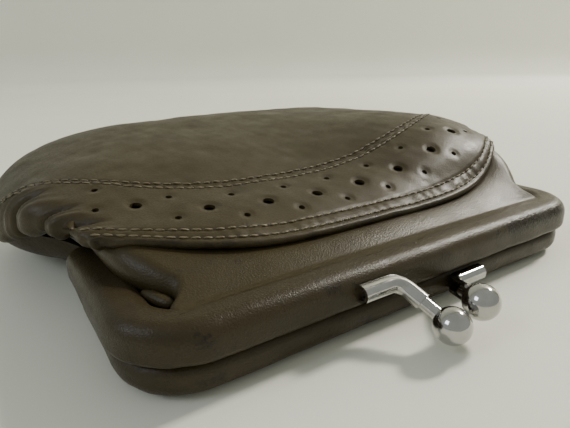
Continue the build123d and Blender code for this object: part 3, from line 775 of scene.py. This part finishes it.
band_keep, hole_dent = punch(band_grid, hole_centres)
fold = gathers(band_grid, band_side[None, :] * np.ones_like(band_run), 3)
dents = leather_dents(band_grid, 71, 0.13)
from_rear = band_total[None, :] - band_run
groove = np.zeros_like(band_run)
for row in ROWS_FROM_EDGE:
    groove -= 0.20 * np.exp(-((band_run - row) / 0.42)**2)
groove -= 0.20 * np.exp(-((from_rear - ROW_FROM_SEAM) / 0.42)**2)
pucker = 0.12 * np.sin(band_grid[..., 0] * 2 * math.pi / 3.4 + np.sin(band_grid[..., 0] * 0.4) * 2)
between = np.exp(-((band_run - 3.0) / 1.1)**2) + np.exp(-(from_rear / 1.8)**2)
pucker = pucker * between * (0.35 + 0.65 * ramp(-10, 40, band_grid[..., 0]))
shape_push = fold + dents
band_top = shape_push + 0.35 + groove + pucker + hole_dent - rounded(band_run, LIP / 2) \
    - 0.6 * rounded(from_rear, 0.55)
thick = BAND_THICKNESS + (LIP - BAND_THICKNESS) * ramp(3.4, 0.8, band_run)
band_bottom = shape_push + 0.35 - thick + rounded(band_run, LIP / 2)
band_bottom = np.minimum(band_bottom, band_top)
band_piece = shell("band_leather", band_grid, band_normals, band_top, band_bottom, pouch_finish,
                   band_keep, {"wear": 0.10 + 0.35 * np.exp(-(band_run / 1.2)**2)})
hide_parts("front_band")

# backing strip under the holes; the strip is real, its near-black colour is painted shade seen through the
# holes
strip = (slice(8, None, 3), slice(CURL_COLUMNS + 6, -CURL_COLUMNS - 6, 3))
strip_push = shape_push[strip]
backing_piece = shell("band_backing_leather", band_grid[strip], band_normals[strip], strip_push - 1.25,
                      strip_push - 1.7, backing_painted_shade_finish)
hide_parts("band_backing")


# ---- main panel ----------------------------------------------------------------------------
panel_side = side_steps(250)
_, panel_front = across_limits(panel_side)
OVERLAP = 3.2


def panel_steps(total):
    t = np.linspace(0, 1, 118)
    return total * (1.06 * t - 0.06 * t**8)


panel_grid = tidy_columns(panel_front - OVERLAP, np.full_like(panel_front, REAR_Y - 0.002), panel_side,
                          panel_steps)
panel_normals = grid_normals(panel_grid)
panel_run = spans(panel_grid, 0)
panel_sides = panel_side[None, :] * np.ones_like(panel_run)
panel_push = leather_dents(panel_grid, 71, 0.13) + gathers(panel_grid, panel_sides, 3)
under = -0.85 * ramp(OVERLAP + 0.6, OVERLAP - 0.8, panel_run)
past_seam = panel_run - OVERLAP
panel_top = panel_push + under - 0.18 * np.exp(-((past_seam - 1.6) / 0.42)**2)
swell = 0.10 * np.sin(panel_grid[..., 0] * 2 * math.pi / 3.7)
panel_top += swell * np.exp(-((past_seam - 0.9) / 1.0)**2)
edge_valley = ramp(0.985, 1.0, np.abs(panel_sides))
panel_top -= 0.25 * edge_valley
panel_piece = shell("front_panel_leather", panel_grid, panel_normals, panel_top, panel_push + under - LEATHER,
                    pouch_finish, values={"wear": np.full(panel_grid.shape[:2], 0.06)})
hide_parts("front_panel")


# ---- back panel ----------------------------------------------------------------------------
BACK_HALF = [(10.4, 44.0), (30, 44.4), (38, 45.5), (46, 51), (54, 57.8), (62, 62.4), (70, 64.2),
             (100, 64.4)]
BACK_EDGE_Z = [(10.4, 3.4), (32, 3.6), (38, 5.0), (46, 9.6), (54, 11.2), (60, 10.0), (70, 7.8),
               (80, 7.0), (100, 6.8)]


def back_surface(side, y):
    wide = through(BACK_HALF, y)
    past = np.clip(y - CORNER_START_Y, 0, CORNER_RADIUS)
    corner = 64.4 - CORNER_RADIUS
    wide = np.where(y > CORNER_START_Y, corner + np.sqrt(CORNER_RADIUS**2 - past**2), wide)
    x = np.clip(side, -1, 1) * wide
    steep = through([(10, 14), (34, 12), (50, 6), (70, 5), (100, 5)], y)
    fall = (1 - np.minimum(np.abs(side), 1)**steep)**(1 / 2.0)
    rear = np.clip((y - 45) / (REAR_Y - 45), 0, 1)
    fall = fall * (1 - rear**12)**(1 / 2.0)
    fall = fall * ramp(10.2, 15.5, y)**0.6
    low = through(BACK_EDGE_Z, y)
    z = low + (0.12 - low) * fall
    return np.stack([x, y * np.ones_like(x), z], -1)


def back_panel_grid():
    s = np.linspace(-1, 1, 220)
    side = 1.12 * s - 0.12 * s**9
    t = np.linspace(0, 1, 110)
    y = 10.4 + (REAR_Y - 0.002 - 10.4) * (1 - (1 - t)**1.5)[:, None]
    return back_surface(side[None, :] * np.ones_like(y), y * np.ones_like(side)[None, :])


back_grid = back_panel_grid()
back_normals = -grid_normals(back_grid)
back_depth = np.clip(back_grid[..., 2] - 0.8, 0, 3) / 3
back_push = 0.12 * ripple(back_grid, 22, 91) * back_depth + 0.03 * ripple(back_grid, 7, 93) * back_depth
flip = slice(None, None, -1)
back_piece = shell("back_panel_leather", back_grid[:, flip], back_normals[:, flip], back_push[:, flip],
                   (back_push - LEATHER)[:, flip], back_finish,
                   values={"wear": np.full(back_grid.shape[:2], 0.12)})
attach(back_piece, "pouch")
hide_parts("back_panel")


# ---- linings -------------------------------------------------------------------------------
lining_side = np.linspace(-0.985, 0.985, 150)
lining_front, _ = across_limits(lining_side)
lining_grid = tidy_columns(lining_front + 3.0, np.full_like(lining_front, REAR_Y - 1.5), lining_side,
                           lambda total: np.linspace(0, total, 110))
lining_normals = grid_normals(lining_grid)
LINING_DEPTH = 3.6
lining_push = leather_dents(lining_grid, 101, 0.22) - LINING_DEPTH
front_lining_piece = shell("front_lining_cloth", lining_grid, lining_normals, lining_push, lining_push - 0.5,
                           lining_finish)
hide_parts("front_lining")

yoke_rows = slice(14, -6, 2)
yoke_columns = slice(12, -12, 2)
yoke_cloth = yoke_grid[yoke_rows, yoke_columns]
cloth_push = yoke_push[yoke_rows, yoke_columns] - 1.5 + 0.05 * ripple(yoke_cloth, 6, 107)
yoke_lining_piece = shell("yoke_lining_cloth", yoke_cloth, yoke_normals[yoke_rows, yoke_columns], cloth_push,
                          cloth_push - 0.5, lining_finish)
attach(yoke_lining_piece, "upper_half")
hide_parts("yoke_lining")

inner = (slice(4, -3, 2), slice(4, -4, 2))
inner_grid = back_grid[inner][:, flip]
inner_normals = back_normals[inner][:, flip]
inner_push = back_push[inner][:, flip] - 1.35 + 0.10 * ripple(inner_grid, 9, 109)
back_lining_piece = shell("back_lining_cloth", inner_grid, inner_normals, inner_push, inner_push - 0.5,
                          lining_finish)
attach(back_lining_piece, "pouch")
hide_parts("back_lining")


# ---- stitches ------------------------------------------------------------------------------
def stitch_tree():
    """Threads laid along the mesh's edges, with a dark flattened mark between each pair that is painted shade
    of a needle hole.
    """
    tree = bpy.data.node_groups.new("stitch_rows", "GeometryNodeTree")
    tree.is_modifier = True
    face = tree.interface
    face.new_socket("Geometry", in_out="INPUT", socket_type="NodeSocketGeometry")
    sizes = (("Pitch", STITCH_PITCH * MM), ("Stitch length", 1.6 * MM), ("Thread radius", 0.21 * MM),
             ("Needle hole shade", 0.13 * MM))
    for label, value in sizes:
        socket = face.new_socket(label, in_out="INPUT", socket_type="NodeSocketFloat")
        socket.default_value = value
    seed = face.new_socket("Seed", in_out="INPUT", socket_type="NodeSocketInt")
    seed.default_value = 7
    face.new_socket("Geometry", in_out="OUTPUT", socket_type="NodeSocketGeometry")
    given = add(tree, "NodeGroupInput").outputs
    curve = add(tree, "GeometryNodeMeshToCurve", {0: given["Geometry"]}).outputs[0]
    dots = add(tree, "GeometryNodeCurveToPoints", {"Curve": curve, "Length": given["Pitch"]},
               mode="LENGTH").outputs
    lift = add(tree, "GeometryNodeInputNamedAttribute", {"Name": "lift"}, data_type="FLOAT_VECTOR")
    aim = add(tree, "FunctionNodeAlignRotationToVector", {"Vector": dots["Tangent"]}, axis="X").outputs[0]
    aim = add(tree, "FunctionNodeAlignRotationToVector", {"Rotation": aim, "Vector": lift.outputs[0]},
              axis="Z", pivot_axis="X").outputs[0]
    wobble = add(tree, "FunctionNodeRandomValue", {"Min": (-0.04, -0.05, -0.10), "Max": (0.04, 0.05, 0.10),
                                                   "Seed": given["Seed"]}, data_type="FLOAT_VECTOR")
    turn = add(tree, "FunctionNodeEulerToRotation", {0: wobble.outputs[0]}).outputs[0]
    aim_thread = add(tree, "FunctionNodeRotateRotation", {"Rotation": aim, "Rotate By": turn},
                     rotation_space="LOCAL").outputs[0]
    ball = add(tree, "GeometryNodeMeshUVSphere", {"Segments": 8, "Rings": 6, "Radius": 1.0}).outputs[0]
    half = add(tree, "ShaderNodeMath", {0: given["Stitch length"], 1: 0.5}, operation="MULTIPLY").outputs[0]
    size = add(tree, "ShaderNodeCombineXYZ", {0: half, 1: given["Thread radius"],
                                              2: given["Thread radius"]}).outputs[0]
    threads = add(tree, "GeometryNodeInstanceOnPoints", {"Points": dots["Points"], "Instance": ball,
                                                         "Rotation": aim_thread, "Scale": size}).outputs[0]
    threads = add(tree, "GeometryNodeRealizeInstances", {0: threads}).outputs[0]
    threads = add(tree, "GeometryNodeSetMaterial",
                  {"Geometry": threads, "Material": thread_finish}).outputs[0]
    step = add(tree, "ShaderNodeMath", {0: given["Pitch"], 1: 0.5}, operation="MULTIPLY").outputs[0]
    shift = add(tree, "ShaderNodeVectorMath", {0: dots["Tangent"], "Scale": step}, operation="SCALE")
    moved = add(tree, "GeometryNodeSetPosition", {"Geometry": dots["Points"],
                                                  "Offset": shift.outputs[0]}).outputs[0]
    # the flattened dark instances between the threads are painted shade of the needle holes
    flat = add(tree, "ShaderNodeMath", {0: given["Needle hole shade"], 1: 0.45}, operation="MULTIPLY").outputs[0]
    size = add(tree, "ShaderNodeCombineXYZ", {0: given["Needle hole shade"], 1: given["Needle hole shade"],
                                              2: flat}).outputs[0]
    marks = add(tree, "GeometryNodeInstanceOnPoints", {"Points": moved, "Instance": ball, "Rotation": aim,
                                                       "Scale": size}).outputs[0]
    marks = add(tree, "GeometryNodeRealizeInstances", {0: marks}).outputs[0]
    marks = add(tree, "GeometryNodeSetMaterial", {"Geometry": marks, "Material": needle_hole_shade_finish}).outputs[0]
    both = add(tree, "GeometryNodeJoinGeometry")
    tree.links.new(marks, both.inputs[0])
    tree.links.new(threads, both.inputs[0])
    result = add(tree, "NodeGroupOutput")
    tree.links.new(both.outputs[0], result.inputs[0])
    return tree


def sew(name, lines, lifts, sizes):
    """Stitches along each line of millimetre points."""
    points = np.concatenate(lines)
    lift = np.concatenate(lifts)
    edges = []
    start = 0
    for line in lines:
        edges += [(start + i, start + i + 1) for i in range(len(line) - 1)]
        start += len(line)
    mesh = bpy.data.meshes.new(name + "_rows")
    mesh.from_pydata(to_metres(points).tolist(), edges, [])
    layer = mesh.attributes.new("lift", "FLOAT_VECTOR", "POINT")
    layer.data.foreach_set("vector", lift.astype(np.float32).ravel())
    carrier = bpy.data.objects.new(name + "_rows", mesh)
    bpy.context.scene.collection.objects.link(carrier)
    tree = stitch_tree()
    modifier = carrier.modifiers.new("sew", "NODES")
    modifier.node_group = tree
    for item in tree.interface.items_tree:
        if item.in_out == "INPUT" and item.name in sizes:
            modifier[item.identifier] = sizes[item.name]
    graph = bpy.context.evaluated_depsgraph_get()
    made = bpy.data.meshes.new_from_object(carrier.evaluated_get(graph))
    made.name = name
    bpy.data.objects.remove(carrier)
    piece = bpy.data.objects.new(name, made)
    bpy.context.scene.collection.objects.link(piece)
    made.shade_smooth()
    return piece


def row_on(grid, normals, run, push, where, columns, lift):
    """Line of points on a grid at a running length along its columns."""
    line = []
    ups = []
    for j in columns:
        at = where(run[-1, j])
        k = np.interp(at, run[:, j], np.arange(len(run)))
        i = int(k)
        t = k - i
        i2 = min(i + 1, len(run) - 1)
        up = normals[i, j] * (1 - t) + normals[i2, j] * t
        over = push[i, j] * (1 - t) + push[i2, j] * t
        line.append(grid[i, j] * (1 - t) + grid[i2, j] * t + up * (over + lift))
        ups.append(up)
    return np.array(line), np.array(ups)


band_columns = range(CURL_COLUMNS + 13, len(band_side) - CURL_COLUMNS - 11)
lines = []
lifts = []
for distance in ROWS_FROM_EDGE:
    line, up = row_on(band_grid, band_normals, band_run, band_top, lambda total: distance, band_columns, 0.15)
    lines.append(line)
    lifts.append(up)
line, up = row_on(band_grid, band_normals, band_run, band_top, lambda total: total - ROW_FROM_SEAM,
                  band_columns, 0.15)
lines.append(line)
lifts.append(up)
panel_columns = range(CURL_COLUMNS + 3, len(panel_side) - CURL_COLUMNS - 3)
line, up = row_on(panel_grid, panel_normals, panel_run, panel_top, lambda total: OVERLAP + 1.6,
                  panel_columns, 0.15)
lines.append(line)
lifts.append(up)
stitches = sew("band_stitches", lines, lifts, {"Pitch": STITCH_PITCH * MM, "Seed": 7})

# ---- transforms baked into band, backing, panel, stitches and front lining; bend points unused ---
bend_start = to_metres(np.array([0, 25.5, 20.5]))
bend_end = to_metres(np.array([0, 33.5, 6.65]))
for piece in (band_piece, backing_piece, panel_piece, stitches):
    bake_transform(piece)
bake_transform(front_lining_piece)


# ---- metal and cord ------------------------------------------------------------------------
def refinish(node, material):
    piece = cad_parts[node]
    piece.data.materials.clear()
    piece.data.materials.append(material)


for node in ("upper_clasp_arm", "upper_clasp_ball", "lower_clasp_arm", "lower_clasp_ball"):
    refinish(node, clasp_finish)
for node in ("upper_packing_cord", "lower_packing_cord"):
    refinish(node, cord_finish)
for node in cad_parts:
    if "channel" in node or "ear" in node or "rivet" in node or "tab" in node:
        refinish(node, steel_finish)


# ---- floor, light and camera ---------------------------------------------------------------
CAMERA_PLACE = (-64.5, -49.5, 45.3)
CAMERA_YAW = 33.41
CAMERA_PITCH = -18.53
CAMERA_ROLL = -0.78
CAMERA_LENS = 29.48


def backdrop():
    """Pale sweep: a floor that turns up into a wall far behind."""
    profile = [(-1.6, 0.0), (0.55, 0.0), (0.575, 0.002), (0.59, 0.008), (0.60, 0.02), (0.60, 0.06),
               (0.60, 2.4)]
    turn = math.radians(-CAMERA_YAW + 2.0)
    points = [(x * math.cos(turn) - y * math.sin(turn), x * math.sin(turn) + y * math.cos(turn), z)
              for y, z in profile for x in (-3.0, 3.0)]
    faces = [(2 * i, 2 * i + 1, 2 * i + 3, 2 * i + 2) for i in range(len(profile) - 1)]
    mesh = bpy.data.meshes.new("table")
    mesh.from_pydata(points, [], faces)
    mesh.shade_smooth()
    material, tree, shader = new_material("table_paint")
    where = add(tree, "ShaderNodeTexCoord").outputs["Object"]
    cloud = noise(tree, where, 90, 3.0)
    tree.links.new(mix_colour(tree, cloud, shade(0.76, 0.76, 0.66), shade(0.81, 0.81, 0.71)),
                   shader.inputs["Base Color"])
    shader.inputs["Roughness"].default_value = 0.6
    mesh.materials.append(material)
    table = bpy.data.objects.new("table", mesh)
    bpy.context.scene.collection.objects.link(table)
    return table


backdrop()


def soft_light(name, place, target, size, power, colour):
    light = bpy.data.lights.new(name, "AREA")
    light.shape = "RECTANGLE"
    light.size, light.size_y = size
    light.energy = power
    light.color = colour
    lamp = bpy.data.objects.new(name, light)
    bpy.context.scene.collection.objects.link(lamp)
    away = Vector(place) - Vector(target)
    lamp.matrix_world = Matrix.Translation(place) @ away.to_track_quat("Z", "Y").to_matrix().to_4x4()
    return lamp


soft_light("key_lamp", (0.95, 0.35, 1.20), (0, 0, 0), (0.14, 0.14), 30.0, (1.0, 0.93, 0.80))
soft_light("second_lamp", (1.05, -0.05, 0.85), (0, 0, 0), (0.16, 0.16), 18.0, (1.0, 0.95, 0.86))
soft_light("low_lamp", (-0.12, 1.0, 0.72), (0, 0, 0), (0.16, 0.12), 8.5, (1.0, 0.86, 0.58))
soft_light("window", (-1.2, 0.1, 0.9), (0, 0, 0), (0.5, 0.5), 5.0, (0.80, 0.88, 1.0))
world = bpy.data.worlds.new("room")
world.use_nodes = True
background = world.node_tree.nodes["Background"]
background.inputs[0].default_value = (0.92, 0.95, 0.88, 1.0)
background.inputs[1].default_value = 0.50
bpy.context.scene.world = world


lens = bpy.data.cameras.new("camera")
lens.lens = CAMERA_LENS
lens.clip_start = 0.005
lens.dof.use_dof = False
camera = bpy.data.objects.new("camera", lens)
bpy.context.scene.collection.objects.link(camera)
turn = Matrix.Rotation(math.radians(-CAMERA_YAW), 4, "Z") @ Matrix.Rotation(
    math.radians(90 + CAMERA_PITCH), 4, "X") @ Matrix.Rotation(math.radians(CAMERA_ROLL), 4, "Z")
camera.matrix_world = Matrix.Translation(to_metres(np.array(CAMERA_PLACE)).tolist()) @ turn
bpy.context.scene.camera = camera
